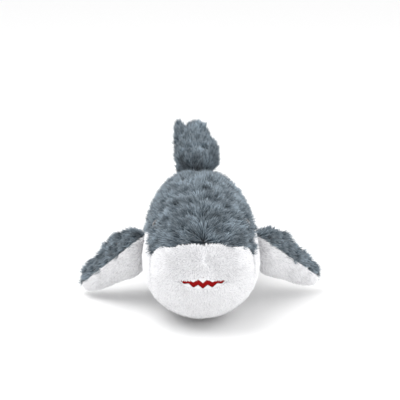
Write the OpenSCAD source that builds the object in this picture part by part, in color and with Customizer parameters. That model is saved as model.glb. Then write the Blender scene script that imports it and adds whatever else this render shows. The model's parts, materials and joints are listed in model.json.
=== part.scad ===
// Plush shark lying on its belly: sewn fur panels over fibre stuffing.
// X across, Y from the nose to the tail, Z up. The origin is on the surface it lies on,
// under the middle of its outer box. Left and right are the shark's own: left is +X.

/* [Body] */
// Length from the nose tip to the end of the tail fin
total_length = 400; // [300:5:520]
// Greatest width of the body, fins left out
body_width = 125; // [96:1:160]
// Greatest height of the body, fins left out
body_height = 144; // [110:1:180]
// Thickness of a fur panel: its backing and its pile
skin = 6; // [3:0.5:8]

/* [Pectoral fins] */
// Length of a fin from its hinge line to its tip
pectoral_span = 71; // [50:1:90]
// Width of a fin where it joins the body
pectoral_chord = 74; // [50:1:90]
// Greatest thickness of a fin
pectoral_thickness = 45; // [26:1:46]
// How far the left fin hangs down from level, in degrees
left_droop = 24; // [10:1:35]
// How far the right fin hangs down from level, in degrees
right_droop = 29; // [10:1:35]
// How far a fin's front edge is raised, in degrees
pectoral_pitch = 26; // [5:1:30]

/* [Dorsal fin] */
// Height of the fin from its hinge line to its tip
dorsal_span = 49; // [40:1:64]
// Length of the fin along the back
dorsal_chord = 62; // [40:1:80]
// Greatest thickness of the fin
dorsal_thickness = 44; // [24:1:48]
// How far the fin leans to the right at rest, in degrees
dorsal_lean = 2; // [1:1:6]

/* [Tail] */
// Height of the upper lobe over the tail's middle
upper_lobe = 73; // [50:1:90]
// Depth of the lower lobe under the tail's middle
lower_lobe = 52; // [30:1:60]
// Greatest thickness of the tail fin
tail_thickness = 44; // [26:1:46]
// How far the tail fin is turned to the right at rest, in degrees
tail_turn = 24; // [0:1:28]

/* [Mouth] */
// Number of teeth in the upper row
teeth = 5; // [3:1:9]
// Half of the width of the open part of the mouth
mouth_half = 25; // [16:1:26]

/* [Eyes] */
// Diameter of an eye
eye_diameter = 13; // [8:0.5:16]

/* [Hidden] */

grey = [0.36, 0.41, 0.46];
white = [0.93, 0.93, 0.94];
red = [0.62, 0.02, 0.03];
fibre = [0.97, 0.97, 0.95];
black = [0.03, 0.03, 0.03];

long = total_length / 400;       // the rows below are for a shark 400 mm long
wide = body_width / 125;
high = body_height / 144;
turned_short = 2.7;   // the turned tail ends this much nearer the middle
nose_y = turned_short - total_length / 2;

// Rows of the body: distance behind the nose, half width, top, bottom.
rows = [for (r = [
    [0, 0, 95.5, 95.5], [5, 30, 110, 73], [12, 42, 119, 54.5], [26, 51, 128, 34.5], [46, 58, 135, 17],
    [74, 62.5, 141, 4], [110, 62, 144, -3], [150, 60, 143.5, -3], [190, 56, 138.5, 2], [230, 49.5, 127, 14],
    [265, 41, 116, 29], [300, 32, 109, 43], [328, 26, 108, 52], [350, 22, 108, 56]])
    [r[0] * long, r[1] * wide, r[2] * high, r[3] * high]];
// The row before the nose mirrors the first one, so that the nose is round.
before_nose = [rows[1][0], -rows[1][1], 2 * rows[0][2] - rows[1][2], 2 * rows[0][3] - rows[1][3]];

widest = 0.45;        // the level of the greatest width, as a share of a ring's height
round_top = 2.3;      // superellipse exponent of a ring's upper half
round_low = 2.0;      // and of its lower half
function roundness(up) = up ? round_top : round_low;

// A smooth curve through the rows.
function row(i) = i < 0 ? before_nose : rows[min(i, len(rows) - 1)];
function smooth(a, b, c, d, f) =
    b + 0.5 * f * (c - a + f * (2 * a - 5 * b + 4 * c - d + f * (3 * (b - c) + d - a)));
function ring(t) = let (i = floor(t)) smooth(row(i - 1), row(i), row(i + 1), row(i + 2), t - i);

function power(v, e) = sign(v) * pow(abs(v), e);
// A point on the body's outer surface. phi is 0 at the top and 180 at the bottom.
// The belly is pressed flat where it lies.
function skin_at(t, phi) =
    let (r = ring(t), mid = r[3] + widest * (r[2] - r[3]), up = phi < 90, e = 2 / roundness(up))
    let (z = mid + (up ? r[2] - mid : mid - r[3]) * power(cos(phi), e))
    [r[1] * power(sin(phi), e), nose_y + r[0], max(0, z)];
function unit(v) = v / norm(v);
function outward(t, phi) =
    t < 0.02 ? [0, -1, 0] :
    let (e = 0.02, q = min(178, max(2, phi)),
        along = skin_at(t + e, q) - skin_at(t - e, q), around = skin_at(t, q + 1) - skin_at(t, q - 1),
        n = unit(cross(around, along)))
    (phi <= 2 || phi >= 178) ? unit([0, n[1], n[2]]) : n;
// The same point, moved inwards by depth.
function body_point(t, phi, depth) = skin_at(t, phi) - depth * outward(t, phi);

function mix(a, b, f) = a + (b - a) * f;
// A smooth curve through a list of [v, value] pairs, read at v.
function slope(list, i) = let (a = list[max(0, i - 1)], b = list[min(len(list) - 1, i + 1)])
    (b[1] - a[1]) / (b[0] - a[0]);
function curve(list, v, i = 0) =
    v <= list[0][0] ? list[0][1] :
    i >= len(list) - 1 ? list[len(list) - 1][1] :
    v > list[i + 1][0] ? curve(list, v, i + 1) :
    let (a = list[i], b = list[i + 1], w = b[0] - a[0], f = (v - a[0]) / w)
    a[1] * (1 + 2 * f) * pow(1 - f, 2) + slope(list, i) * w * f * pow(1 - f, 2)
        + b[1] * f * f * (3 - 2 * f) + slope(list, i + 1) * w * f * f * (f - 1);

// Seams, as angles along the body. Each is a list of [ring, angle].
lobe_ring = 3.4;      // the grey point at the corner of the muzzle
back_seam = [[1, 0], [1.34, 42], [2, 56], [2.7, 62], [3.1, 69], [lobe_ring, 80], [3.8, 76], [4.4, 66],
    [5, 64], [6, 72], [7, 80], [8, 87], [9, 93], [10, 99], [11, 104], [13, 106]];
lip_seam = [[1, 180], [1.34, 143], [1.67, 128], [2, 118], [2.67, 104], [lobe_ring, 96]];
chin_seam = [[1.5, 136], [1.6, 143], [1.7, 159], [1.76, 180]];
throat_seam = [[lobe_ring, 96], [3.8, 108], [4.3, 138], [4.66, 180]];
mouth_corner = 1.5;   // outside the open part, from this ring on, the two lips meet
chin_ring = 1.76;     // the ring of the lower lip's middle
function back_edge(t) = curve(back_seam, t);
function lip_edge(t) = t <= 1 ? 180 : curve(lip_seam, t);
function chin_edge(t) = t >= chin_ring ? 180 : min(180, curve(chin_seam, t));
function throat_edge(t) = min(180, curve(throat_seam, t));

// The rings that every panel uses, so that neighbours share their seams.
nose_rings = [0, 0.3, 0.65];
face_rings = [1, 1.17, 1.34, mouth_corner, 1.6, 1.69, chin_ring, 2, 2.34, 2.7, 3.1, lobe_ring];
neck_rings = [3.75, 4.05, 4.36, 4.66];
trunk_rings = [5, 5.5, 6, 6.5, 7, 7.5, 8, 8.5, 9];

// Tail joints: a round end of the part behind turns in a hollow of the part before.
stock_hinge = 295 * long;     // behind the nose
stock_radius = 41 * wide;
fin_hinge = 346 * long;
fin_radius = 25;
gap = 0.8;                    // between the two, and between skin and stuffing it is half of that

// How far the ring t at angle phi is from the joint's axis, less the radius.
function past(t, phi, hinge, radius) =
    let (p = skin_at(t, phi)) norm([p[0], p[1] - nose_y - hinge]) - radius;
// The ring at which the surface meets the joint's cylinder, by halving the interval.
function meets(phi, hinge, radius, low, top, n = 18) =
    n == 0 ? (low + top) / 2 :
    let (m = (low + top) / 2)
    past(m, phi, hinge, radius) > 0 ? meets(phi, hinge, radius, m, top, n - 1)
        : meets(phi, hinge, radius, low, m, n - 1);
function on_cylinder(p, hinge, radius) =
    [p[0], nose_y + hinge - sqrt(max(0, radius * radius - p[0] * p[0])), p[2]];

// ---- Solids from grids of points ----

// A panel between an outer and an inner grid of points. first and last say that the grid
// starts or ends in one point instead of an edge.
module panel(outer, inner, first = false, last = false) {
    m = len(outer);
    n = len(outer[0]);
    points = [for (g = [outer, inner]) for (r = g) each r];
    function at(side, i, j) = side * m * n + i * n + ((first && i == 0) || (last && i == m - 1) ? 0 : j);
    function quad(a, b, c, d) = [if (a != b && b != c) [a, b, c], if (c != d && d != a) [a, c, d]];
    polyhedron(points, concat(
        [for (i = [0:m - 2]) for (j = [0:n - 2])
            each quad(at(0, i, j), at(0, i + 1, j), at(0, i + 1, j + 1), at(0, i, j + 1))],
        [for (i = [0:m - 2]) for (j = [0:n - 2])
            each quad(at(1, i, j), at(1, i, j + 1), at(1, i + 1, j + 1), at(1, i + 1, j))],
        [for (i = [0:m - 2]) each quad(at(0, i, 0), at(1, i, 0), at(1, i + 1, 0), at(0, i + 1, 0))],
        [for (i = [0:m - 2])
            each quad(at(0, i, n - 1), at(0, i + 1, n - 1), at(1, i + 1, n - 1), at(1, i, n - 1))],
        first ? [] : [for (j = [0:n - 2])
            each quad(at(0, 0, j), at(0, 0, j + 1), at(1, 0, j + 1), at(1, 0, j))],
        last ? [] : [for (j = [0:n - 2])
            each quad(at(0, m - 1, j + 1), at(0, m - 1, j), at(1, m - 1, j), at(1, m - 1, j + 1))]),
        convexity = 6);
}

// A closed solid through rings of points. Both ends are single points.
module loft(rings) {
    m = len(rings);
    n = len(rings[0]);
    points = [for (r = rings) each r];
    function at(i, j) = i * n + (i == 0 || i == m - 1 ? 0 : j % n);
    polyhedron(points, [for (i = [0:m - 2]) for (j = [0:n - 1])
        each concat(i == m - 2 ? [] : [[at(i, j), at(i + 1, j), at(i + 1, j + 1)]],
            i == 0 ? [] : [[at(i, j), at(i + 1, j + 1), at(i, j + 1)]])], convexity = 6);
}

// ---- Torso ----

// One half panel: rings with the angle at its upper and its lower edge.
function strip(list, upper, lower, steps, depth) =
    [for (t = list) [for (j = [0:steps]) body_point(t, mix(upper(t), lower(t), j / steps), depth)]];

rear_steps = 4;
// Rows that run from ring 9 to the hollow that the tail turns in.
function rear(upper, lower, steps, depth) =
    [for (k = [1:rear_steps]) [for (j = [0:steps])
        let (phi = mix(upper(9.8), lower(9.8), j / steps),
            end = meets(phi, stock_hinge, stock_radius, 8, 11),
            t = mix(9, end, k / rear_steps),
            edge = mix(upper(t), lower(t), j / steps),
            p = body_point(t, edge, depth))
        k == rear_steps ? on_cylinder(p, stock_hinge, stock_radius) : p]];

top_edge = function (t) 0;
bottom_edge = function (t) 180;

module back_half() {
    list = concat(face_rings, neck_rings, trunk_rings);
    edge = function (t) back_edge(t);
    panel(concat(strip(list, top_edge, edge, 12, 0), rear(top_edge, edge, 12, 0)),
        concat(strip(list, top_edge, edge, 12, skin), rear(top_edge, edge, 12, skin)), first = true);
}

module muzzle_half() {
    list = concat(nose_rings, face_rings);
    upper = function (t) t <= 1 ? 0 : back_edge(t);
    lower = function (t) lip_edge(t);
    panel(strip(list, upper, lower, 12, 0), strip(list, upper, lower, 12, skin), first = true);
}

module jaw_half() {
    list = concat([for (t = face_rings) if (t >= mouth_corner) t], neck_rings);
    upper = function (t) t <= lobe_ring ? lip_edge(t) : throat_edge(t);
    lower = function (t) chin_edge(t);
    panel(strip(list, upper, lower, 8, 0), strip(list, upper, lower, 8, skin), last = true);
}

// The lining closes the open part of the mouth, behind the teeth.
lining_front = 3;
module lining_half() {
    list = [for (t = face_rings) if (t <= chin_ring) t];
    upper = function (t) t < mouth_corner ? lip_edge(t) : chin_edge(t);
    panel(strip(list, upper, bottom_edge, 4, lining_front), strip(list, upper, bottom_edge, 4, skin),
        first = true, last = true);
}

module belly_half() {
    list = concat([lobe_ring], neck_rings, trunk_rings);
    upper = function (t) back_edge(t);
    lower = function (t) throat_edge(t);
    panel(concat(strip(list, upper, lower, 9, 0), rear(upper, bottom_edge, 9, 0)),
        concat(strip(list, upper, lower, 9, skin), rear(upper, bottom_edge, 9, skin)));
}

// ---- Stuffing of the torso ----

around = 28;
stuffing_rings = [0.3, 0.65, 1, 1.34, 1.67, 2, 2.5, 3, lobe_ring, 4, 4.66, 5.3, 6, 6.7, 7.4, 8.1, 9];
fill = skin + gap / 2;        // the stuffing's depth under the outer surface
function half_angle(phi) = phi > 180 ? 360 - phi : phi;
function side(phi) = phi > 180 ? -1 : 1;
function full_ring(t, depth) = [for (j = [0:around - 1]) let (phi = j * 360 / around,
    p = body_point(t, half_angle(phi), depth)) [side(phi) * p[0], p[1], p[2]]];
// The ring on a joint's cylinder, drawn in towards its middle to cap the stuffing.
function end_ring(hinge, radius, depth, low, top, share) =
    let (outer = [for (j = [0:around - 1]) let (phi = j * 360 / around,
            t = meets(half_angle(phi), hinge, radius, low, top), p = body_point(t, half_angle(phi), depth))
            [side(phi) * p[0], p[1], p[2]]],
        mid = (outer[0][2] + outer[around / 2][2]) / 2)
    [for (p = outer) on_cylinder([p[0] * share, p[1], mix(mid, p[2], share)], hinge, radius)];
caps = [1, 0.75, 0.5, 0.25, 0];

module torso_stuffing() color(fibre)
    loft(concat([[for (j = [1:around]) body_point(0, 0, fill)]],
        [for (t = stuffing_rings) full_ring(t, fill)],
        [for (share = caps) end_ring(stock_hinge, stock_radius, fill, 8, 11, share)]));

// ---- Tail stock ----

stock_steps = 6;
front_radius = stock_radius - gap;
// A row between the round front end and the hollow that the tail fin turns in.
function stock_point(k, phi, depth) =
    let (a = meets(phi, stock_hinge, front_radius, 8, 11),
        b = meets(phi, fin_hinge, fin_radius + gap, 11, 12.9),
        p = body_point(mix(a, b, k / stock_steps), phi, depth))
    k == 0 ? on_cylinder(p, stock_hinge, front_radius) :
    k == stock_steps ? on_cylinder(p, fin_hinge, fin_radius + gap) : p;
stock_seam = 104;     // the angle of the seam between grey and white

function stock_grid(from, to, steps, depth) = [for (k = [0:stock_steps])
    [for (j = [0:steps]) stock_point(k, mix(from, to, j / steps), depth)]];
module stock_half() panel(stock_grid(0, stock_seam, 8, 0), stock_grid(0, stock_seam, 8, skin));

// The rows run round the underside from the left seam to the right one.
function under(from, depth) = [for (r = stock_grid(from, 180, 5, depth)) concat([for (j = [0:4]) r[j]],
    [for (j = [5:-1:0]) [-r[j][0], r[j][1], r[j][2]]])];
module tail_stock_belly_panel() color(white) panel(under(stock_seam, 0), under(stock_seam, skin));

function stock_ring(k) = [for (j = [0:around - 1]) let (phi = j * 360 / around,
    p = stock_point(k, half_angle(phi), fill)) [side(phi) * p[0], p[1], p[2]]];
module tail_stock_stuffing() color(fibre)
    loft(concat(
        [for (i = [len(caps) - 1:-1:0]) end_ring(stock_hinge, front_radius, fill, 8, 11, caps[i])],
        [for (k = [1:stock_steps - 1]) stock_ring(k)],
        [for (share = caps) end_ring(fin_hinge, fin_radius + gap, fill, 11, 12.9, share)]));

// ---- Fins ----
// A fin lies in its own frame: a runs from its hinge line to its tip, c from its front to
// its rear edge, and h across its thickness.

function rounding(u, p) = pow(max(0, 1 - pow(u, p)), 1 / p);
bulge = 0.62;         // how full a fin's section is, from front edge to rear edge
function fullness(q) = pow(max(0, 1 - q * q), bulge);
seam_bevel = 0.6;     // a panel's seam edge is bevelled on the inside
function seam_lift(depth) = depth == skin ? seam_bevel : 0;

// spec: span, half chord, half thickness at the hinge and at its fullest, how much of that is lost
// at the tip, sweep, tip chord share, how square the tip is
function fin_point(spec, u, q, depth) =
    let (half = (spec[1] * mix(1, spec[6], u) - depth) * rounding(u, 2.8),
        swell = mix(spec[2], spec[3], sin(90 * min(1, u / 0.28))) * (1 - spec[4] * u * u),
        thick = (swell - depth) * rounding(u, spec[7]))
    [u * (spec[0] - depth), spec[5] * u + q * half, thick * fullness(q) + seam_lift(depth)];
// Behind the hinge line the fin is rounded, so that it can turn. turn is 0 to 90.
root_reach = 8.5;
function root_point(spec, turn, q, depth) =
    let (p = fin_point(spec, 0, q, depth))
    [-(root_reach - depth) * sin(turn), p[1], max(seam_lift(depth), p[2] * cos(turn))];

fin_columns = 10;
fin_rows = [0.12, 0.26, 0.4, 0.55, 0.7, 0.82, 0.91, 0.97, 1];
function columns(f) = [for (j = [0:fin_columns]) f(-cos(180 * j / fin_columns))];
function fin_grid(spec, depth, turns) = concat(
    [for (turn = turns) columns(function (q) root_point(spec, turn, q, depth))],
    [for (u = fin_rows) columns(function (q) fin_point(spec, u, q, depth))]);
root_turns = [90, 60, 30, 0];
fill_turns = [70, 35, 0];
module fin_panel(spec) panel(fin_grid(spec, 0, root_turns), fin_grid(spec, skin, root_turns), last = true);

// Stuffing: the inner grid and its mirror image, which share their front and rear edges.
module fin_fill(grid, open_ends) {
    m = len(grid);
    n = len(grid[0]);
    points = concat([for (r = grid) for (p = r) [p[0], p[1], -p[2]]], [for (r = grid) each r]);
    function ends(i) = (i == 0 && !open_ends[0]) || (i == m - 1 && !open_ends[1]);
    function at(s, i, j) = ends(i) ? i * n : (j == 0 || j == n - 1 ? 0 : s * m * n) + i * n + j;
    function quad(a, b, c, d) = [if (a != b && b != c && a != c) [a, b, c],
        if (c != d && d != a && a != c) [a, c, d]];
    polyhedron(points, concat(
        [for (i = [0:m - 2]) for (j = [0:n - 2])
            each quad(at(0, i, j), at(0, i + 1, j), at(0, i + 1, j + 1), at(0, i, j + 1))],
        [for (i = [0:m - 2]) for (j = [0:n - 2])
            each quad(at(1, i, j), at(1, i, j + 1), at(1, i + 1, j + 1), at(1, i + 1, j))],
        open_ends[0] ? [for (j = [0:n - 2])
            each quad(at(0, 0, j), at(0, 0, j + 1), at(1, 0, j + 1), at(1, 0, j))] : [],
        open_ends[1] ? [for (j = [0:n - 2])
            each quad(at(0, m - 1, j + 1), at(0, m - 1, j), at(1, m - 1, j), at(1, m - 1, j + 1))] : []),
        convexity = 6);
}

root_gap = 11;                // from the body's surface to a fin's hinge line
pectoral_spec = [pectoral_span, pectoral_chord / 2, 17, pectoral_thickness / 2, 0.15, 52, 0.42, 3];
pectoral_place = [body_width / 2 + root_gap - 1.5, nose_y + 128 * long, 66 * high];
dorsal_spec = [dorsal_span, dorsal_chord / 2, 19, dorsal_thickness / 2, 0.33, 30, 0.5, 5];
dorsal_place = [0, nose_y + 222 * long, 130 * high + root_gap];
dorsal_slope = 17;

// Turns a fin's frame so that it stands: a is up and the shark's right side is +h.
module standing() rotate([0, -90, 0]) children();
// Puts a left fin where it belongs; its upper side is the frame's +h.
module at_pectoral(droop) translate(pectoral_place) rotate([-pectoral_pitch, 0, 0])
    rotate([0, droop, 0]) children();
module at_dorsal() translate(dorsal_place) rotate([-dorsal_slope, -dorsal_lean, 0])
    standing() children();

// ---- Tail fin ----
// u runs from the lower tip, -1, to the upper tip, 1.
tail_level = 80 * high;
function tail_front(u) = -fin_radius + (u > 0 ? 72 : 54) * pow(abs(u), 1.7);
function tail_rear(u) = 30 + (u > 0 ? 26 : 8) * pow(abs(u), 1.2);
function tail_point(u, q, depth) =
    let (lobe = u > 0 ? upper_lobe : lower_lobe,
        mid = (tail_front(u) + tail_rear(u)) / 2,
        half = (tail_rear(u) - tail_front(u)) / 2 + 2,
        thick = tail_thickness / 2 * mix(1, 0.6, abs(u)))
    [u * (lobe - depth), mid + q * (half - depth * min(1, half / 14)) * rounding(abs(u), 3),
     (thick - depth) * rounding(abs(u), 2.6) * fullness(q)];
tail_rows = [for (v = [-90, -76, -62, -48, -34, -20, -7, 7, 20, 34, 48, 62, 76, 90]) sin(v)];
function tail_grid(depth) = [for (u = tail_rows) columns(function (q) tail_point(u, q, depth))];
module at_tail() translate([0, nose_y + fin_hinge, tail_level]) rotate([0, 0, tail_turn])
    standing() children();
module tail_panel() panel(tail_grid(skin), tail_grid(0), first = true, last = true);

// ---- Mouth ----

// The ring whose surface passes through (x, z) on the face, by halving the interval.
function outside(t, x, z) =
    let (r = ring(t), mid = r[3] + widest * (r[2] - r[3]), up = z > mid, n = roundness(up))
    pow(abs(x) / r[1], n) + pow(abs(z - mid) / (up ? r[2] - mid : mid - r[3]), n) > 1;
function face_ring(x, z, low = 0.01, top = 4, n = 20) =
    n == 0 ? (low + top) / 2 :
    let (m = (low + top) / 2)
    outside(m, x, z) ? face_ring(x, z, m, top, n - 1) : face_ring(x, z, low, m, n - 1);
function face_point(x, z, depth) =
    let (t = face_ring(x, z), e = 0.4,
        s = function (x, z) [x, nose_y + ring(face_ring(x, z))[0], z],
        n = unit(cross(s(x + e, z) - s(x - e, z), s(x, z + e) - s(x, z - e))))
    s(x, z) - depth * n;

lip_level = 73.5 * high;      // the upper lip's middle
chin_level = 58.5 * high;     // the lower lip's middle
felt = 1;
teeth_front = lining_front - felt - 0.3;
function open_share(x) = pow(max(0, 1 - pow(abs(x) / mouth_half, 2)), 0.6);
function zigzag(x, shift) = let (f = (x / mouth_half * teeth / 2 + shift + 20) % 1) abs(2 * f - 1);
// A row of teeth between its straight edge and its toothed edge.
tooth_columns = 8 * teeth;
tooth_base = 0.15;            // how far the row reaches between its teeth, as a share of the half opening
tooth_reach = 0.66;
module tooth_row(edge, shift) {
    xs = [for (i = [0:tooth_columns]) mix(-0.96, 0.96, i / tooth_columns) * mouth_half];
    function z(x, f) = let (mid = (lip_level + chin_level) / 2 + 5 * pow(x / mouth_half, 2))
        mid + (edge - (lip_level + chin_level) / 2) * open_share(x)
            * (f == 0 ? 1 : 1 - tooth_base - tooth_reach * zigzag(x, shift));
    function grid(depth) = [for (x = xs)
        [for (f = edge > chin_level ? [0, 1] : [1, 0]) face_point(x, z(x, f), depth)]];
    panel(grid(teeth_front), grid(teeth_front + felt));
}

// ---- Eyes, label and stitches ----

eye_ring = 4.9;
eye_angle = 53;
eye_height = 3.6;
eye_depth = 1.2;              // how deep the dome's top sits in the pile
eye_ball = (pow(eye_diameter / 2, 2) + pow(eye_height, 2)) / (2 * eye_height);
stem_radius = 1.8;
stem_length = 10;
washer = 1.6;
// Puts a piece on the surface, with its z pointing outwards and its x down.
module at_skin(t, phi, depth) let (n = outward(t, phi))
    translate(body_point(t, phi, depth)) rotate([0, acos(n[2]), atan2(n[1], n[0])]) children();

module eye() color(black) at_skin(eye_ring, eye_angle, eye_depth + eye_height) {
    rotate_extrude($fn = 64) intersection() {
        translate([0, eye_height - eye_ball]) circle(eye_ball);
        square([eye_diameter, eye_height]);
    }
    translate([0, 0, -stem_length]) cylinder(h = stem_length, r = stem_radius, $fn = 48);
}
module eye_washer() color(white) at_skin(eye_ring, eye_angle, fill + washer) difference() {
    union() {
        cylinder(h = washer, r = 7.5, $fn = 64);
        translate([0, 0, -2]) cylinder(h = 2.5, r = 3.6, $fn = 48);
    }
    translate([0, 0, -3]) cylinder(h = 6, r = stem_radius + 0.05, $fn = 48);
}

label_ring = 8.3;
label_size = [0.8, 18, 16];
module care_label() color(white) mirror([1, 0, 0])
    at_skin(label_ring, back_edge(label_ring), 1.5) rotate([0, 40, 0])
    translate([-label_size[0], -label_size[1], 0] / 2) cube(label_size);

stitch_count = 9;
stitch_step = 0.12;           // in rings
module closing_stitches() color(white) for (i = [0:stitch_count - 1])
    at_skin(8 + i * stitch_step, 180, 0.2) rotate([90, 0, 0])
    cylinder(h = 5, r = 0.5, center = true, $fn = 24);

// ---- Nodes ----

module right_side() mirror([1, 0, 0]) children();
module both_sides() {
    children();
    mirror([1, 0, 0]) children();
}

module back_panel_left() color(grey) back_half();
module back_panel_right() color(grey) right_side() back_half();
module muzzle_panel_left() color(white) muzzle_half();
module muzzle_panel_right() color(white) right_side() muzzle_half();
module jaw_panel() color(white) both_sides() jaw_half();
module belly_panel_left() color(white) belly_half();
module belly_panel_right() color(white) right_side() belly_half();
module mouth_lining() color(red) both_sides() lining_half();
module upper_teeth() color(white) tooth_row(lip_level, 0);
module lower_teeth() color(white) tooth_row(chin_level, 0.5);
module eye_left() eye();
module eye_right() right_side() eye();
module eye_washer_left() eye_washer();
module eye_washer_right() right_side() eye_washer();
module pectoral_top(droop) color(grey) at_pectoral(droop) fin_panel(pectoral_spec);
module pectoral_bottom(droop) color(white) at_pectoral(droop) mirror([0, 0, 1])
    fin_panel(pectoral_spec);
module pectoral_stuffing(droop) color(fibre) at_pectoral(droop)
    fin_fill(fin_grid(pectoral_spec, fill, fill_turns), [true, false]);
module fin_left_top_panel() pectoral_top(left_droop);
module fin_left_bottom_panel() pectoral_bottom(left_droop);
module fin_left_stuffing() pectoral_stuffing(left_droop);
module fin_right_top_panel() right_side() pectoral_top(right_droop);
module fin_right_bottom_panel() right_side() pectoral_bottom(right_droop);
module fin_right_stuffing() right_side() pectoral_stuffing(right_droop);
module dorsal_left_panel() color(grey) at_dorsal() mirror([0, 0, 1]) fin_panel(dorsal_spec);
module dorsal_right_panel() color(grey) at_dorsal() fin_panel(dorsal_spec);
module dorsal_stuffing() color(fibre) at_dorsal()
    fin_fill(fin_grid(dorsal_spec, fill, fill_turns), [true, false]);
module tail_stock_left_panel() color(grey) stock_half();
module tail_stock_right_panel() color(grey) right_side() stock_half();
module tail_fin_left_panel() color(grey) at_tail() mirror([0, 0, 1]) tail_panel();
module tail_fin_right_panel() color(grey) at_tail() tail_panel();
module tail_fin_stuffing() color(fibre) at_tail() fin_fill(tail_grid(fill), [false, false]);

back_panel_left();
back_panel_right();
muzzle_panel_left();
muzzle_panel_right();
jaw_panel();
belly_panel_left();
belly_panel_right();
mouth_lining();
upper_teeth();
lower_teeth();
eye_left();
eye_right();
eye_washer_left();
eye_washer_right();
torso_stuffing();
closing_stitches();
care_label();
fin_left_top_panel();
fin_left_bottom_panel();
fin_left_stuffing();
fin_right_top_panel();
fin_right_bottom_panel();
fin_right_stuffing();
dorsal_left_panel();
dorsal_right_panel();
dorsal_stuffing();
tail_stock_left_panel();
tail_stock_right_panel();
tail_stock_belly_panel();
tail_stock_stuffing();
tail_fin_left_panel();
tail_fin_right_panel();
tail_fin_stuffing();
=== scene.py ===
import bpy, json, math
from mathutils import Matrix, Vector
from mathutils.bvhtree import BVHTree


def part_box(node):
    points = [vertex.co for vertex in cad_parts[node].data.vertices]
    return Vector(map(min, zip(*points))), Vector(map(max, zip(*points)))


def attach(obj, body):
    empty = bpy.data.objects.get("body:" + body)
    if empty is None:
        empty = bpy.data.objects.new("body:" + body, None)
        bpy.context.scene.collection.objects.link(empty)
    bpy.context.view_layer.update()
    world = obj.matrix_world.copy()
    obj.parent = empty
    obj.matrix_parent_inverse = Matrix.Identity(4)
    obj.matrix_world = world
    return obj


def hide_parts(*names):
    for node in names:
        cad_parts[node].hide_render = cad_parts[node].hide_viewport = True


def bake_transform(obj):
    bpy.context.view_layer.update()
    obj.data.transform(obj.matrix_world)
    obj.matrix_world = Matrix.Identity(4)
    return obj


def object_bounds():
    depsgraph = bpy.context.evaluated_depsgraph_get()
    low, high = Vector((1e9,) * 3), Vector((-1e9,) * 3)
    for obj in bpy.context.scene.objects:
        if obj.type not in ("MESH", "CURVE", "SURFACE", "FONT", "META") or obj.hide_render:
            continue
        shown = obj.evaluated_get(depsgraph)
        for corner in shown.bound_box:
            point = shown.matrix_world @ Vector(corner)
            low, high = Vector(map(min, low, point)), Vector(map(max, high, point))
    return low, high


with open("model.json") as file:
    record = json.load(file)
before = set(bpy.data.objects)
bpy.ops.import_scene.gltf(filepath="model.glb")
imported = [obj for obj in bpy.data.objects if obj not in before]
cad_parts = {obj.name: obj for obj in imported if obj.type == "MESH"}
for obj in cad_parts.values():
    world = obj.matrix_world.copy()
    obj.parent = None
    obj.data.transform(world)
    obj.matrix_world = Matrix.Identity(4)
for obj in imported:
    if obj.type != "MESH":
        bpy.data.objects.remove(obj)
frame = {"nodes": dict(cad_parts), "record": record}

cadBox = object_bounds()
scene = bpy.context.scene
nodes = frame["nodes"]
bodyOf = {node: body for body, held in frame["record"]["behaviour"]["bodies"].items() for node in held}
jointOf = {joint["name"]: joint for joint in frame["record"]["behaviour"]["joints"]}
noseLevel = 0.093  # height of the nose seam's middle
noseTip = Vector((0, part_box("muzzle_panel_left")[0].y, noseLevel))
print("frame loaded:", len(nodes), "nodes")


# Tools that all pieces share

mergeDistance = 0.00002
flatAngle = math.radians(60)  # triangles that meet within this become one four-sided face


def onlySelect(piece):
    bpy.ops.object.select_all(action="DESELECT")
    piece.select_set(True)
    bpy.context.view_layer.objects.active = piece


def copyOf(node, name):  # a loose copy of a CAD node, with its triangles merged
    piece = bpy.data.objects.new(name, nodes[node].data.copy())
    scene.collection.objects.link(piece)
    piece.data.materials.clear()
    onlySelect(piece)
    bpy.ops.object.mode_set(mode="EDIT")
    bpy.ops.mesh.select_all(action="SELECT")
    bpy.ops.mesh.remove_doubles(threshold=mergeDistance)
    bpy.ops.mesh.tris_convert_to_quads(face_threshold=flatAngle, shape_threshold=flatAngle)
    bpy.ops.object.mode_set(mode="OBJECT")
    return piece


def applyAll(piece):
    onlySelect(piece)
    for modifier in list(piece.modifiers):
        bpy.ops.object.modifier_apply(modifier=modifier.name)


def standIn(node):
    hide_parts(node)


# Materials

def newGroup(name, inputs, outputs):
    group = bpy.data.node_groups.new(name, "ShaderNodeTree")
    for label, kind, value in inputs:
        group.interface.new_socket(name=label, in_out="INPUT", socket_type=kind).default_value = value
    for label, kind in outputs:
        group.interface.new_socket(name=label, in_out="OUTPUT", socket_type=kind)
    start = group.nodes.new("NodeGroupInput")
    end = group.nodes.new("NodeGroupOutput")
    return group, start, end


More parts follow.
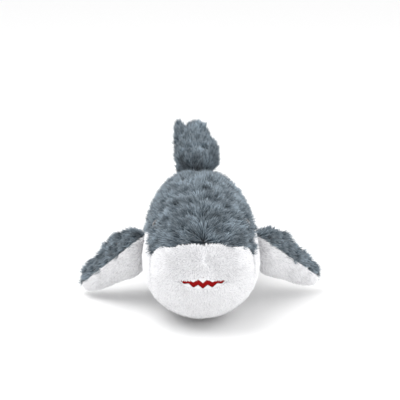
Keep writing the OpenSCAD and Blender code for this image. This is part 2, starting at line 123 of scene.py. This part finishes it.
def makePileTint():  # colour of a strand from its painted-shade root to its tip, in patches and strand by strand
    group, start, end = newGroup("pileTint",
        [("Shaded Root", "NodeSocketColor", (0, 0, 0, 1)), ("Middle", "NodeSocketColor", (0.2, 0.2, 0.2, 1)),
            ("Tip", "NodeSocketColor", (1, 1, 1, 1)), ("Patch Scale", "NodeSocketFloat", 60.0),
            ("Patch Strength", "NodeSocketFloat", 0.3), ("Strand Strength", "NodeSocketFloat", 0.3)],
        [("Color", "NodeSocketColor")])
    new, link = group.nodes.new, group.links.new
    tip = new("ShaderNodeAttribute"); tip.attribute_name = "tip"
    shade = new("ShaderNodeAttribute"); shade.attribute_name = "shade"
    coords = new("ShaderNodeTexCoord")
    patches = new("ShaderNodeTexNoise")
    patches.inputs["Detail"].default_value = 3
    link(coords.outputs["Object"], patches.inputs["Vector"])
    link(start.outputs["Patch Scale"], patches.inputs["Scale"])
    low = new("ShaderNodeMapRange")  # root to middle, both painted shade deep in the pile
    low.inputs["From Max"].default_value = 0.45
    high = new("ShaderNodeMapRange")  # middle to tip, from painted shade to the strand's own colour
    high.inputs["From Min"].default_value = 0.35
    for part in (low, high):
        link(tip.outputs["Fac"], part.inputs["Value"])
    first = new("ShaderNodeMix"); first.data_type = "RGBA"
    second = new("ShaderNodeMix"); second.data_type = "RGBA"
    link(low.outputs["Result"], first.inputs["Factor"])
    link(start.outputs["Shaded Root"], first.inputs["A"])
    link(start.outputs["Middle"], first.inputs["B"])
    link(high.outputs["Result"], second.inputs["Factor"])
    link(first.outputs["Result"], second.inputs["A"])
    link(start.outputs["Tip"], second.inputs["B"])
    strength = []
    for value, amount in ((patches.outputs["Fac"], "Patch Strength"),
            (shade.outputs["Fac"], "Strand Strength")):
        centred = new("ShaderNodeMath"); centred.operation = "SUBTRACT"
        centred.inputs[1].default_value = 0.5
        link(value, centred.inputs[0])
        scaled = new("ShaderNodeMath"); scaled.operation = "MULTIPLY_ADD"
        scaled.inputs[2].default_value = 1
        link(centred.outputs[0], scaled.inputs[0])
        link(start.outputs[amount], scaled.inputs[1])
        strength.append(scaled)
    both = new("ShaderNodeMath"); both.operation = "MULTIPLY"
    link(strength[0].outputs[0], both.inputs[0])
    link(strength[1].outputs[0], both.inputs[1])
    tinted = new("ShaderNodeVectorMath"); tinted.operation = "SCALE"
    link(second.outputs["Result"], tinted.inputs[0])
    link(both.outputs[0], tinted.inputs["Scale"])
    link(tinted.outputs["Vector"], end.inputs["Color"])
    return group


def makeFibreBump():  # fine crossing fibres, as on felt, tape and thread
    group, start, end = newGroup("fibreBump",
        [("Scale", "NodeSocketFloat", 900.0), ("Strength", "NodeSocketFloat", 0.3),
            ("Stretch", "NodeSocketVector", (1, 1, 1))],
        [("Height", "NodeSocketFloat"), ("Normal", "NodeSocketVector")])
    new, link = group.nodes.new, group.links.new
    coords = new("ShaderNodeTexCoord")
    stretched = new("ShaderNodeVectorMath"); stretched.operation = "MULTIPLY"
    link(coords.outputs["Object"], stretched.inputs[0])
    link(start.outputs["Stretch"], stretched.inputs[1])
    fibres = new("ShaderNodeTexNoise")
    fibres.inputs["Detail"].default_value = 4
    fibres.inputs["Roughness"].default_value = 0.65
    fibres.inputs["Distortion"].default_value = 1.2
    link(stretched.outputs["Vector"], fibres.inputs["Vector"])
    link(start.outputs["Scale"], fibres.inputs["Scale"])
    bump = new("ShaderNodeBump")
    bump.inputs["Distance"].default_value = 0.0006
    link(start.outputs["Strength"], bump.inputs["Strength"])
    link(fibres.outputs["Fac"], bump.inputs["Height"])
    link(fibres.outputs["Fac"], end.inputs["Height"])
    link(bump.outputs["Normal"], end.inputs["Normal"])
    return group


pileTint = makePileTint()
fibreBump = makeFibreBump()


def newMaterial(name, roughness, **sockets):
    material = bpy.data.materials.new(name)
    material.use_nodes = True
    shader = material.node_tree.nodes["Principled BSDF"]
    shader.inputs["Roughness"].default_value = roughness
    for label, value in sockets.items():
        shader.inputs[label.replace("_", " ")].default_value = value
    return material, shader


def furMaterial(name, root, middle, tip, patch, strand):
    material, shader = newMaterial(name, 0.9, Sheen_Weight=0.35, Sheen_Roughness=0.5,
        Specular_IOR_Level=0.15)
    tint = material.node_tree.nodes.new("ShaderNodeGroup"); tint.node_tree = pileTint
    # the root and middle colours are painted shade deep in the pile; the tip is the strand's own colour
    for label, value in (("Shaded Root", root), ("Middle", middle), ("Tip", tip)):
        tint.inputs[label].default_value = (*value, 1)
    tint.inputs["Patch Strength"].default_value = patch
    tint.inputs["Strand Strength"].default_value = strand
    material.node_tree.links.new(tint.outputs["Color"], shader.inputs["Base Color"])
    return material


def feltMaterial(name, colour, shadow, scale, bump, roughness, stretch=(1, 1, 1), **sockets):
    material, shader = newMaterial(name, roughness, **sockets)
    tree = material.node_tree
    fibres = tree.nodes.new("ShaderNodeGroup"); fibres.node_tree = fibreBump
    fibres.inputs["Scale"].default_value = scale
    fibres.inputs["Strength"].default_value = bump
    fibres.inputs["Stretch"].default_value = stretch
    mixed = tree.nodes.new("ShaderNodeMix"); mixed.data_type = "RGBA"
    mixed.inputs["A"].default_value = (*shadow, 1)
    mixed.inputs["B"].default_value = (*colour, 1)
    tree.links.new(fibres.outputs["Height"], mixed.inputs["Factor"])
    tree.links.new(mixed.outputs["Result"], shader.inputs["Base Color"])
    tree.links.new(fibres.outputs["Normal"], shader.inputs["Normal"])
    return material


# a fur has the root, middle and tip of a strand, with painted shade deep in the pile darkening the root
# and middle, then the strength of its patches and strands;
# a felt has its colour, its shadow, the grain's scale and bump, the roughness and the stretch
finish = {
    # each fur's first two colours are painted shade deep in the pile
    "greyFur": furMaterial("greyFur", (0.014, 0.021, 0.028), (0.07, 0.094, 0.115),
        (0.27, 0.32, 0.36), 2.4, 0.8),
    "whiteFur": furMaterial("whiteFur", (0.6, 0.6, 0.62), (0.8, 0.8, 0.815),
        (0.9, 0.9, 0.91), 0.1, 0.1),
    "redFelt": feltMaterial("redFelt", (0.33, 0.0, 0.001), (0.15, 0.0, 0.0),
        1400, 0.5, 0.95, Specular_IOR_Level=0.2),
    "whiteFelt": feltMaterial("whiteFelt", (0.78, 0.78, 0.79), (0.6, 0.6, 0.61),
        1400, 0.4, 0.95, Sheen_Weight=0.2),
    "eyePlastic": feltMaterial("eyePlastic", (0.012, 0.012, 0.014), (0.006, 0.006, 0.007),
        300, 0.02, 0.08, Coat_Weight=0.8),
    "washerPlastic": feltMaterial("washerPlastic", (0.85, 0.85, 0.83), (0.78, 0.78, 0.76),
        700, 0.08, 0.45),
    "thread": feltMaterial("thread", (0.85, 0.85, 0.86), (0.6, 0.6, 0.61),
        2500, 0.8, 0.8, (1, 6, 1)),
    "labelTape": feltMaterial("labelTape", (0.9, 0.9, 0.89), (0.72, 0.72, 0.72),
        1800, 0.5, 0.7, (1, 1, 7)),
    "fibreFill": feltMaterial("fibreFill", (0.92, 0.92, 0.9), (0.7, 0.7, 0.69),
        500, 0.8, 0.95, (1, 2, 1)),
}
print("materials made:", len(finish))


# Fur: one tuft is modelled once and scattered over each panel

def makeTuft():
    bpy.ops.object.select_all(action="DESELECT")
    bpy.ops.mesh.primitive_cone_add(vertices=3, radius1=1, radius2=0, depth=1, location=(0, 0, 0.5))
    tuft = bpy.context.object
    tuft.name = "tuft"
    bpy.ops.object.transform_apply(location=True, rotation=False, scale=False)
    tip = tuft.data.attributes.new("tip", "FLOAT", "POINT")
    for vertex in tuft.data.vertices:
        tip.data[vertex.index].value = vertex.co.z
    return tuft


strandSettings = {  # how much one strand differs from the next
    "smallest": 0.7, "largest": 1.25,
    "stray": 0.22,
    "locks": ((110, 1.0), (420, 0.7)),  # scale and share of the wide locks and of the narrow ones
    "shadeSeed": 7,
}


def makeFurNodes(tuft):  # strands lie away from Flow From; there are none within a bare spot
    group = bpy.data.node_groups.new("furScatter", "GeometryNodeTree")
    for label, kind in (("Geometry", "NodeSocketGeometry"), ("Flow From", "NodeSocketVector"),
            ("Density", "NodeSocketFloat"), ("Length", "NodeSocketFloat"), ("Width", "NodeSocketFloat"),
            ("Lift", "NodeSocketFloat"), ("Ruffle", "NodeSocketFloat"), ("Seed", "NodeSocketInt"),
            ("Bare Spot", "NodeSocketVector"), ("Bare Radius", "NodeSocketFloat")):
        group.interface.new_socket(name=label, in_out="INPUT", socket_type=kind)
    group.interface.new_socket(name="Geometry", in_out="OUTPUT", socket_type="NodeSocketGeometry")
    new, link = group.nodes.new, group.links.new
    start, end = new("NodeGroupInput"), new("NodeGroupOutput")

    def vector(operation, a, b=None):
        step = new("ShaderNodeVectorMath"); step.operation = operation
        for socket, value in ((0, a), (1, b)):
            if isinstance(value, tuple):
                step.inputs[socket].default_value = value
            elif value is not None:
                link(value, step.inputs[socket])
        return step

    def times(a, scale):
        step = new("ShaderNodeVectorMath"); step.operation = "SCALE"
        link(a, step.inputs[0])
        link(scale, step.inputs["Scale"])
        return step.outputs["Vector"]

    furred = new("GeometryNodeInputNamedAttribute"); furred.data_type = "FLOAT"
    furred.inputs["Name"].default_value = "furred"
    chosen = new("FunctionNodeCompare"); chosen.data_type = "FLOAT"; chosen.operation = "GREATER_THAN"
    link(furred.outputs["Attribute"], chosen.inputs["A"])
    chosen.inputs["B"].default_value = 0.5
    points = new("GeometryNodeDistributePointsOnFaces"); points.distribute_method = "RANDOM"
    link(start.outputs["Geometry"], points.inputs["Mesh"])
    link(chosen.outputs["Result"], points.inputs["Selection"])
    link(start.outputs["Density"], points.inputs["Density"])
    link(start.outputs["Seed"], points.inputs["Seed"])

    position = new("GeometryNodeInputPosition")
    reach = vector("DISTANCE", position.outputs[0], start.outputs["Bare Spot"]).outputs["Value"]
    inSpot = new("FunctionNodeCompare"); inSpot.data_type = "FLOAT"; inSpot.operation = "LESS_THAN"
    link(reach, inSpot.inputs["A"])
    link(start.outputs["Bare Radius"], inSpot.inputs["B"])
    trimmed = new("GeometryNodeDeleteGeometry"); trimmed.domain = "POINT"
    link(points.outputs["Points"], trimmed.inputs["Geometry"])
    link(inSpot.outputs["Result"], trimmed.inputs["Selection"])
    away = vector("SUBTRACT", position.outputs[0], start.outputs["Flow From"]).outputs["Vector"]
    along = vector("DOT_PRODUCT", away, points.outputs["Normal"]).outputs["Value"]
    flat = vector("SUBTRACT", away, times(points.outputs["Normal"], along)).outputs["Vector"]
    flow = vector("NORMALIZE", flat).outputs["Vector"]
    lifted = vector("ADD", flow, times(points.outputs["Normal"], start.outputs["Lift"])).outputs["Vector"]
    ruffles = []
    for scale, weight in strandSettings["locks"]:
        noise = new("ShaderNodeTexNoise")
        noise.inputs["Scale"].default_value = scale
        noise.inputs["Detail"].default_value = 1
        link(position.outputs[0], noise.inputs["Vector"])
        centred = vector("SUBTRACT", noise.outputs["Color"], (0.5, 0.5, 0.5)).outputs["Vector"]
        ruffles.append(vector("MULTIPLY", centred, (weight,) * 3).outputs["Vector"])
    ruffle = times(vector("ADD", *ruffles).outputs["Vector"], start.outputs["Ruffle"])
    stray = new("FunctionNodeRandomValue"); stray.data_type = "FLOAT_VECTOR"
    stray.inputs["Min"].default_value = (-strandSettings["stray"],) * 3
    stray.inputs["Max"].default_value = (strandSettings["stray"],) * 3
    link(start.outputs["Seed"], stray.inputs["Seed"])
    ruffled = vector("ADD", lifted, ruffle).outputs["Vector"]
    lean = vector("ADD", ruffled, stray.outputs["Value"]).outputs["Vector"]
    turn = new("FunctionNodeAlignRotationToVector"); turn.axis = "Z"
    link(lean, turn.inputs["Vector"])

    share = new("FunctionNodeRandomValue"); share.data_type = "FLOAT"
    share.inputs[2].default_value = strandSettings["smallest"]
    share.inputs[3].default_value = strandSettings["largest"]
    size = new("ShaderNodeCombineXYZ")
    for axis, label in (("X", "Width"), ("Y", "Width"), ("Z", "Length")):
        link(start.outputs[label], size.inputs[axis])
    scaled = times(size.outputs["Vector"], share.outputs[1])
    shade = new("FunctionNodeRandomValue"); shade.data_type = "FLOAT"
    shade.inputs["Seed"].default_value = strandSettings["shadeSeed"]
    stored = new("GeometryNodeStoreNamedAttribute"); stored.data_type = "FLOAT"; stored.domain = "POINT"
    stored.inputs["Name"].default_value = "shade"
    link(trimmed.outputs["Geometry"], stored.inputs["Geometry"])
    link(shade.outputs[1], stored.inputs["Value"])
    source = new("GeometryNodeObjectInfo")
    source.inputs["Object"].default_value = tuft
    spread = new("GeometryNodeInstanceOnPoints")
    link(stored.outputs["Geometry"], spread.inputs["Points"])
    link(source.outputs["Geometry"], spread.inputs["Instance"])
    link(turn.outputs["Rotation"], spread.inputs["Rotation"])
    link(scaled, spread.inputs["Scale"])
    real = new("GeometryNodeRealizeInstances")
    link(spread.outputs["Instances"], real.inputs["Geometry"])
    joined = new("GeometryNodeJoinGeometry")
    link(real.outputs["Geometry"], joined.inputs["Geometry"])
    link(start.outputs["Geometry"], joined.inputs["Geometry"])
    link(joined.outputs["Geometry"], end.inputs["Geometry"])
    return group


tuft = makeTuft()
furNodes = makeFurNodes(tuft)
stuffingOf = {"torso": "torso_stuffing", "fin_left": "fin_left_stuffing",
    "fin_right": "fin_right_stuffing", "dorsal_fin": "dorsal_stuffing",
    "tail_stock": "tail_stock_stuffing", "tail_fin": "tail_fin_stuffing"}


def treeOf(node):
    mesh = nodes[node].data
    return BVHTree.FromPolygons([v.co for v in mesh.vertices], [p.vertices[:] for p in mesh.polygons])


insides = {body: treeOf(node) for body, node in stuffingOf.items()}


sheet = {"outerDistance": 0.0021, "deepest": 0.6}  # from the stuffing, and as a share of that distance


def lowerOuterSheet(piece, inside, pile):  # leaves room for the pile, and marks the faces that bear it
    mesh = piece.data
    nearest = [inside.find_nearest(v.co) for v in mesh.vertices]
    outer = [found[3] > sheet["outerDistance"] for found in nearest]
    mark = mesh.attributes.new("furred", "FLOAT", "FACE")
    for face in mesh.polygons:
        mark.data[face.index].value = all(outer[i] for i in face.vertices)
    crease = mesh.attributes.new("crease_edge", "FLOAT", "EDGE")
    furredFaces = {edge: 0 for edge in mesh.edge_keys}
    bareFaces = dict(furredFaces)
    for face in mesh.polygons:
        for edge in face.edge_keys:
            (furredFaces if mark.data[face.index].value else bareFaces)[edge] += 1
    for edge in mesh.edges:
        crease.data[edge.index].value = furredFaces[edge.key] > 0 and bareFaces[edge.key] > 0
    for vertex in mesh.vertices:
        if outer[vertex.index]:
            spot, distance = nearest[vertex.index][0], nearest[vertex.index][3]
            vertex.co = vertex.co.lerp(spot, min(pile / distance, sheet["deepest"]))


furSettings = {  # pile depth, strand length and width in metres, strands per square metre
    "greyBody": {"pile": 0.0044, "length": 0.0095, "width": 0.0005,
        "density": 1250000, "lift": 0.38, "ruffle": 2.8},
    "whiteBody": {"pile": 0.0018, "length": 0.0034, "width": 0.00046,
        "density": 1700000, "lift": 0.7, "ruffle": 1.2},
    "face": {"pile": 0.0016, "length": 0.0023, "width": 0.00042,
        "density": 2400000, "lift": 0.8, "ruffle": 1.2},
    "greyFin": {"pile": 0.0044, "length": 0.0085, "width": 0.0005,
        "density": 1400000, "lift": 0.38, "ruffle": 2.8},
    "dorsal": {"pile": 0.0052, "length": 0.0085, "width": 0.0005,
        "density": 1400000, "lift": 0.34, "ruffle": 2.8},
    "whiteFin": {"pile": 0.0018, "length": 0.0034, "width": 0.00046,
        "density": 1700000, "lift": 0.7, "ruffle": 1.2},
}


def addFur(piece, node, kind, flowFrom, seed, root, bare):
    values = furSettings[kind]
    lowerOuterSheet(piece, insides[bodyOf[node]], values["pile"])
    if root:
        widenRoot(piece, *root)
    rounding = piece.modifiers.new("rounding", "SUBSURF")
    rounding.levels = rounding.render_levels = 1
    applyAll(piece)
    bpy.ops.object.shade_smooth()
    fur = piece.modifiers.new("fur", "NODES")
    fur.node_group = furNodes
    items = furNodes.interface.items_tree
    sockets = {item.name: item.identifier for item in items if item.in_out == "INPUT"}
    for label in ("Density", "Length", "Width", "Lift", "Ruffle"):
        fur[sockets[label]] = values[label.lower()]
    for label, value in (("Flow From", flowFrom), ("Seed", seed), ("Bare Spot", bare[0]),
            ("Bare Radius", bare[1])):
        fur[sockets[label]] = value
    applyAll(piece)


rootSettings = {  # how a fin's root widens into the body: shares, and up to where in metres
    "fin": {"swell": 0.45, "widen": 0.2, "reach": 3.2, "until": 0.034},
    "dorsal": {"swell": 0.34, "widen": 0.16, "reach": 3.2, "until": 0.034},
}


def widenRoot(piece, joint, outward, values):  # the root's fur closes the gap at the hinge
    hinge, chord = Vector(joint["pos_m"]), Vector(joint["axis"]).normalized()
    outward = (outward - chord * outward.dot(chord)).normalized()
    thick = outward.cross(chord)
    for vertex in piece.data.vertices:
        local = vertex.co - hinge
        a, c, h = local.dot(outward), local.dot(chord), local.dot(thick)
        share = min(1, max(0, (values["until"] - a) / values["until"]))
        share = share * share * (3 - 2 * share)
        if a < 0:
            a *= values["reach"]
        vertex.co = hinge + outward * a + chord * c * (1 + values["widen"] * share) \
            + thick * h * (1 + values["swell"] * share)


noBareSpot = ((0, 0, 0), 0.0)


def furPiece(name, node, kind, material, flowFrom, seed, root=None, bend=None, bare=noBareSpot):
    piece = copyOf(node, name)
    addFur(piece, node, kind, flowFrom, seed, root, bare)
    piece.data.materials.clear()
    piece.data.materials.append(finish[material])
    if root:  # baked in place and attached to no body
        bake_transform(piece)
    elif bend:  # baked in place and attached to no body
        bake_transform(piece)
    else:
        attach(piece, bodyOf[node])
    standIn(node)
    print("fur:", name, len(piece.data.polygons), "faces")


def centreOf(node):
    low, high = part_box(node)
    return (low + high) / 2


def outerEnd(node):  # the point of a node that is furthest from the stuffing's middle
    middle = centreOf("torso_stuffing")
    middle.y = centreOf(node).y
    points = [vertex.co for vertex in nodes[node].data.vertices]
    return max(points, key=lambda point: (point - middle).length).copy()


eyeClearing = {"radius": 0.0088, "ahead": 0.0035}
flowSettings = {  # where the strands lie away from, in metres
    "ahead": 0.004, "beside": 0.03, "above": 0.01,
    "finRootX": 0.045, "finRootAhead": 0.03, "finRootZ": 0.085,
    "dorsalBehind": 0.01, "dorsalBelow": 0.02,
}
noseFlow = tuple(noseTip + Vector((0, -flowSettings["ahead"], 0)))
tailFlow = tuple(jointOf["tail_fin_swing"]["pos_m"])
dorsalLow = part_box("dorsal_stuffing")[0]
dorsalFlow = (0, dorsalLow.y + flowSettings["dorsalBehind"], dorsalLow.z - flowSettings["dorsalBelow"])


def rootOf(joint, stuffing, kind):  # the joint, the way out to the fin's tip, and the widening
    return jointOf[joint], centreOf(stuffing) - Vector(jointOf[joint]["pos_m"]), rootSettings[kind]


dorsalRoot = rootOf("dorsal_fin_flop", "dorsal_stuffing", "dorsal")
for number, side in enumerate(("left", "right")):
    sign = 1 if side == "left" else -1
    beside = Vector((-sign * flowSettings["beside"], -flowSettings["ahead"], flowSettings["above"]))
    sideFlow = tuple(noseTip + beside)  # beyond the middle, so that the fur parts there
    eye = outerEnd("eye_" + side)
    combed = (eye - Vector(sideFlow)).normalized()  # the strands ahead of the eye would lie over it
    bareSpot = (tuple(eye - combed * eyeClearing["ahead"]), eyeClearing["radius"])
    finFlow = (sign * flowSettings["finRootX"],
        centreOf("fin_" + side + "_stuffing").y - flowSettings["finRootAhead"], flowSettings["finRootZ"])
    finRoot = rootOf("fin_" + side + "_flap", "fin_" + side + "_stuffing", "fin")
    furPiece("backFur_" + side, "back_panel_" + side, "greyBody", "greyFur", sideFlow, 11 + number,
        bend="tail_swing", bare=bareSpot)
    furPiece("muzzleFur_" + side, "muzzle_panel_" + side, "face", "whiteFur", noseFlow, 21 + number)
    furPiece("bellyFur_" + side, "belly_panel_" + side, "whiteBody", "whiteFur", noseFlow, 31 + number,
        bend="tail_swing")
    furPiece("finTopFur_" + side, "fin_" + side + "_top_panel", "greyFin", "greyFur", finFlow,
        41 + number, root=finRoot)
    furPiece("finUnderFur_" + side, "fin_" + side + "_bottom_panel", "whiteFin", "whiteFur", finFlow,
        51 + number, root=finRoot)
    furPiece("dorsalFur_" + side, "dorsal_" + side + "_panel", "dorsal", "greyFur", dorsalFlow,
        61 + number, root=dorsalRoot)
    furPiece("tailStockFur_" + side, "tail_stock_" + side + "_panel", "greyBody", "greyFur", sideFlow,
        71 + number, bend="tail_fin_swing")
    furPiece("tailFinFur_" + side, "tail_fin_" + side + "_panel", "greyFin", "greyFur", tailFlow,
        81 + number)
furPiece("jawFur", "jaw_panel", "face", "whiteFur", noseFlow, 91)
furPiece("tailStockUnderFur", "tail_stock_belly_panel", "whiteBody", "whiteFur", noseFlow, 92,
    bend="tail_fin_swing")
bpy.data.objects.remove(tuft)


# Stuffing: loose fibre, plump where the panels leave it room

stuffingSettings = {  # in metres, but for the pressure and the steps
    "voxel": 0.005, "shrink": 0.0022, "pressure": 4, "steps": 20, "cap": 0.0016,
    "clearance": 0.0008, "lump": 0.0016, "lumpSize": 0.018,
}


def settle(piece):  # swells the piece by air pressure, no further than the cap
    before = [vertex.co.copy() for vertex in piece.data.vertices]
    cloth = piece.modifiers.new("cloth", "CLOTH")
    cloth.settings.use_pressure = True
    cloth.settings.uniform_pressure_force = stuffingSettings["pressure"]
    cloth.settings.effector_weights.gravity = 0
    for step in range(stuffingSettings["steps"]):
        scene.frame_set(step + 1)
    applyAll(piece)
    for vertex, old in zip(piece.data.vertices, before):
        moved = vertex.co - old
        if moved.length > stuffingSettings["cap"]:
            vertex.co = old + moved.normalized() * stuffingSettings["cap"]


def stuffingPiece(name, node):
    piece = copyOf(node, name)
    remesh = piece.modifiers.new("remesh", "REMESH")
    remesh.mode = "VOXEL"
    remesh.voxel_size = stuffingSettings["voxel"]
    applyAll(piece)
    for vertex, normal in [(v, v.normal.copy()) for v in piece.data.vertices]:
        vertex.co -= normal * stuffingSettings["shrink"]
    settle(piece)
    for vertex in piece.data.vertices:  # nothing comes through the panels
        spot, normal = insides[bodyOf[node]].find_nearest(vertex.co)[:2]
        if (vertex.co - spot).dot(normal) > -stuffingSettings["clearance"]:
            vertex.co = spot - normal * stuffingSettings["clearance"]
    lumps = bpy.data.textures.new(name + "Lumps", "CLOUDS")
    lumps.noise_scale = stuffingSettings["lumpSize"]
    rounding = piece.modifiers.new("rounding", "SUBSURF")
    rounding.levels = rounding.render_levels = 1
    lumpy = piece.modifiers.new("lumps", "DISPLACE")
    lumpy.texture = lumps
    lumpy.strength = stuffingSettings["lump"]
    lumpy.mid_level = 1
    applyAll(piece)
    bpy.ops.object.shade_smooth()
    piece.data.materials.clear()
    piece.data.materials.append(finish["fibreFill"])
    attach(piece, bodyOf[node])
    standIn(node)
    print("stuffing:", name)


fillings = {"torso": "torsoFilling", "fin_left": "finFilling_left", "fin_right": "finFilling_right",
    "dorsal_fin": "dorsalFilling", "tail_stock": "tailStockFilling", "tail_fin": "tailFinFilling"}
for body, name in fillings.items():
    stuffingPiece(name, stuffingOf[body])
scene.frame_set(1)


# Small parts keep their CAD shapes

keptNodes = {"mouth_lining": "redFelt", "upper_teeth": "whiteFelt", "lower_teeth": "whiteFelt",
    "eye_left": "eyePlastic", "eye_right": "eyePlastic", "eye_washer_left": "washerPlastic",
    "eye_washer_right": "washerPlastic", "closing_stitches": "thread", "care_label": "labelTape"}
for node, material in keptNodes.items():
    for slot in nodes[node].material_slots:
        slot.material = finish[material]
    if not nodes[node].material_slots:
        nodes[node].data.materials.append(finish[material])
print("small parts finished:", len(keptNodes))


# Floor, light and camera

studio = {"floor": (0.95, 0.95, 0.95), "floorGrain": 0.99, "floorSize": 8, "under": 0.0005,
    "world": 1.0, "key": 12.0, "fill": 6.0}
bpy.ops.object.select_all(action="DESELECT")
bpy.ops.mesh.primitive_plane_add(size=studio["floorSize"], location=(0, 0, cadBox[0][2] - studio["under"]))
floor = bpy.context.object
floor.name = "floor"
bpy.ops.object.transform_apply(location=True, rotation=False, scale=False)
floorShadow = tuple(part * studio["floorGrain"] for part in studio["floor"])
floor.data.materials.append(feltMaterial("floorPaper", studio["floor"], floorShadow, 40, 0.02, 0.95))

world = bpy.data.worlds.new("studioWorld")
scene.world = world
world.use_nodes = True
world.node_tree.nodes["Background"].inputs["Color"].default_value = (1, 1, 1, 1)
world.node_tree.nodes["Background"].inputs["Strength"].default_value = studio["world"]


def areaLight(name, place, size, power):
    light = bpy.data.lights.new(name, "AREA")
    light.size = size
    light.energy = power
    lamp = bpy.data.objects.new(name, light)
    lamp.location = place
    lamp.rotation_euler = (-Vector(place)).to_track_quat("-Z", "Y").to_euler()
    scene.collection.objects.link(lamp)


areaLight("keyLight", (-0.5, -0.5, 1.3), 1.0, studio["key"])
areaLight("fillLight", (0.9, -0.9, 0.8), 1.2, studio["fill"])

view = {"elevation": 15.84, "yaw": 1.44, "distance": 1.3796, "lens": 114.8, "sensor": 36,
    "target": (-0.000154, -0.0773, 0.1235)}
up, yaw = math.radians(view["elevation"]), math.radians(view["yaw"])
ahead = Vector((math.sin(yaw) * math.cos(up), math.cos(yaw) * math.cos(up), -math.sin(up)))
camera = bpy.data.objects.new("camera", bpy.data.cameras.new("camera"))
scene.collection.objects.link(camera)
camera.location = Vector(view["target"]) - ahead * view["distance"]
camera.rotation_euler = (math.pi / 2 - up, 0, -yaw)
camera.data.lens = view["lens"]
camera.data.sensor_width = view["sensor"]
scene.camera = camera
scene.view_settings.view_transform = "Standard"
print("studio set")
